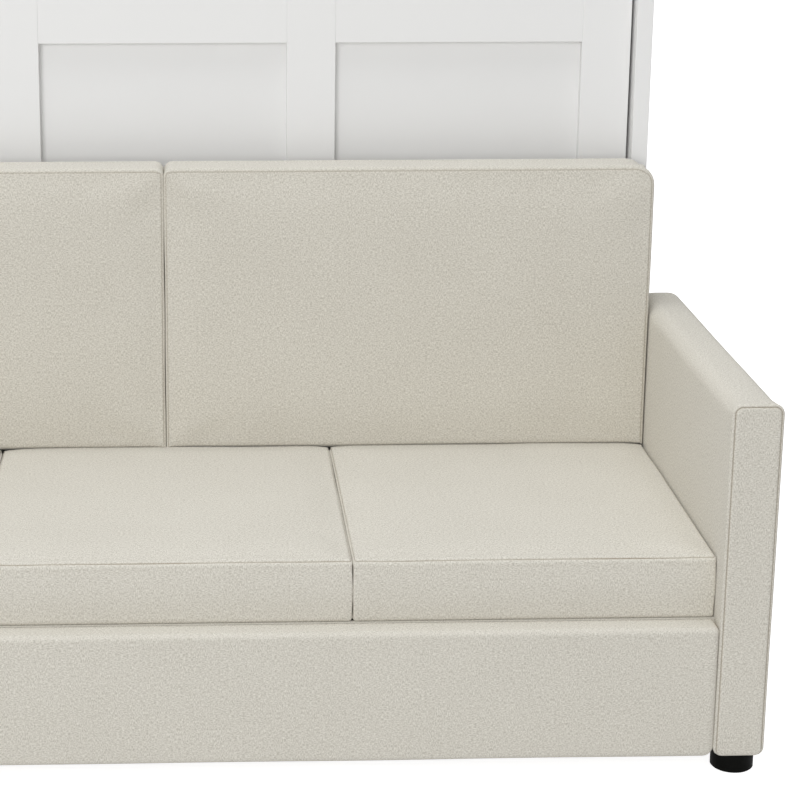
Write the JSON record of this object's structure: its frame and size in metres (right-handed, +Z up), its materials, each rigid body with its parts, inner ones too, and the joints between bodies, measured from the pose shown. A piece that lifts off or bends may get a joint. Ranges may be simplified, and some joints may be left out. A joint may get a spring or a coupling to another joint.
{
  "type": "wall bed",
  "caption": "Queen wall bed in a white cabinet that folds down over an upholstered sofa, with a folding backrest, gas struts and a folding leg.",
  "frame": {"origin": "on the floor, under the middle of the whole bed and sofa", "axes": "+X to the right, +Y towards the wall, +Z up"},
  "size_m": [1.854, 1.211, 2.263],
  "materials": {
    "cabinet_white": "satin",
    "sofa_fabric": "matte",
    "frame_wood": "matte",
    "mattress_cloth": "matte",
    "webbing": "matte",
    "grey_steel": "satin",
    "bright_steel": "satin",
    "strut_black": "satin",
    "strut_chrome": "gloss",
    "black_plastic": "satin",
    "black_rubber": "matte"
  },
  "bodies": {
    "cabinet_and_sofa": {"cabinet_side_left": "cabinet_white", "cabinet_side_right": "cabinet_white", "cabinet_top": "cabinet_white", "kick_panel": "cabinet_white", "wall_rails": "cabinet_white", "headboard_panel": "cabinet_white", "stop_blocks": "cabinet_white", "stop_bumpers": "black_rubber", "pivot_plate_left": "bright_steel", "pivot_plate_right": "bright_steel", "plate_screws": "bright_steel", "arm_frame_left": "frame_wood", "arm_frame_right": "frame_wood", "arm_cover_left": "sofa_fabric", "arm_cover_right": "sofa_fabric", "backrest_bushings": "black_plastic", "sofa_feet": "black_plastic", "base_front_board": "frame_wood", "base_front_cover": "sofa_fabric", "base_side_rails": "frame_wood", "base_rear_rail": "frame_wood", "base_cross_rails": "frame_wood", "seat_deck": "frame_wood", "sofa_straps": "bright_steel", "seat_cushion_left": "sofa_fabric", "seat_cushion_centre": "sofa_fabric", "seat_cushion_right": "sofa_fabric"},
    "backrest": {"backrest_board": "frame_wood", "backrest_bracket_left": "bright_steel", "backrest_bracket_right": "bright_steel", "back_cushion_left": "sofa_fabric", "back_cushion_right": "sofa_fabric"},
    "bed": {"bed_front_board": "cabinet_white", "front_stiles_outer": "cabinet_white", "front_stiles_inner": "cabinet_white", "front_rails_bottom": "cabinet_white", "front_rails_middle": "cabinet_white", "front_rails_top": "cabinet_white", "bed_side_rail_left": "grey_steel", "bed_side_rail_right": "grey_steel", "bed_end_rails": "grey_steel", "bed_cross_rails": "grey_steel", "bed_centre_bar": "grey_steel", "bed_slats": "frame_wood", "slat_holders": "black_plastic", "mattress": "mattress_cloth", "mattress_ledge": "grey_steel", "mattress_straps": "webbing", "pivot_arm_left": "grey_steel", "pivot_arm_right": "grey_steel", "strut_studs": "bright_steel", "leg_brackets": "grey_steel", "leg_pins": "bright_steel"},
    "bed_leg": {"leg_frame": "grey_steel", "leg_pads": "black_plastic"},
    "strut_cylinder_left_body": {"strut_cylinder_left": "strut_black"},
    "strut_rod_left_body": {"strut_rod_left": "strut_chrome"},
    "strut_cylinder_right_body": {"strut_cylinder_right": "strut_black"},
    "strut_rod_right_body": {"strut_rod_right": "strut_chrome"}
  },
  "joints": [
    {"name": "bed_fold", "type": "hinge", "parent": "cabinet_and_sofa", "child": "bed", "pos_m": [0, 0.1855, 0.52], "axis": [1, 0, 0], "range_deg": [0, 90]},
    {"name": "backrest_fold", "type": "hinge", "parent": "cabinet_and_sofa", "child": "backrest", "pos_m": [0, 0.0415, 0.403], "axis": [1, 0, 0], "range_deg": [0, 90]},
    {"name": "leg_fold", "type": "hinge", "parent": "bed", "child": "bed_leg", "pos_m": [0, 0.1005, 2.12], "axis": [1, 0, 0], "range_deg": [-90, 0]},
    {"name": "strut_swing_left", "type": "hinge", "parent": "cabinet_and_sofa", "child": "strut_cylinder_left_body", "pos_m": [-0.807, 0.2595, 0.594], "axis": [1, 0, 0], "range_deg": [0, 84]},
    {"name": "strut_stroke_left", "type": "slide", "parent": "strut_cylinder_left_body", "child": "strut_rod_left_body", "axis": [0, -0.1814, -0.9834], "range_m": [-0.1442, 0]},
    {"name": "strut_swing_right", "type": "hinge", "parent": "cabinet_and_sofa", "child": "strut_cylinder_right_body", "pos_m": [0.807, 0.2595, 0.594], "axis": [1, 0, 0], "range_deg": [0, 84]},
    {"name": "strut_stroke_right", "type": "slide", "parent": "strut_cylinder_right_body", "child": "strut_rod_right_body", "axis": [0, -0.1814, -0.9834], "range_m": [-0.1442, 0]}
  ],
  "couplings": [
    {"joint": "backrest_fold", "follows": "bed_fold", "ratio": 1},
    {"joint": "leg_fold", "follows": "bed_fold", "ratio": -1},
    {"joint": "strut_swing_left", "follows": "bed_fold", "ratio": 0.9275},
    {"joint": "strut_stroke_left", "follows": "bed_fold", "m_per_rad": -0.091682},
    {"joint": "strut_swing_right", "follows": "bed_fold", "ratio": 0.9275},
    {"joint": "strut_stroke_right", "follows": "bed_fold", "m_per_rad": -0.091682}
  ]
}
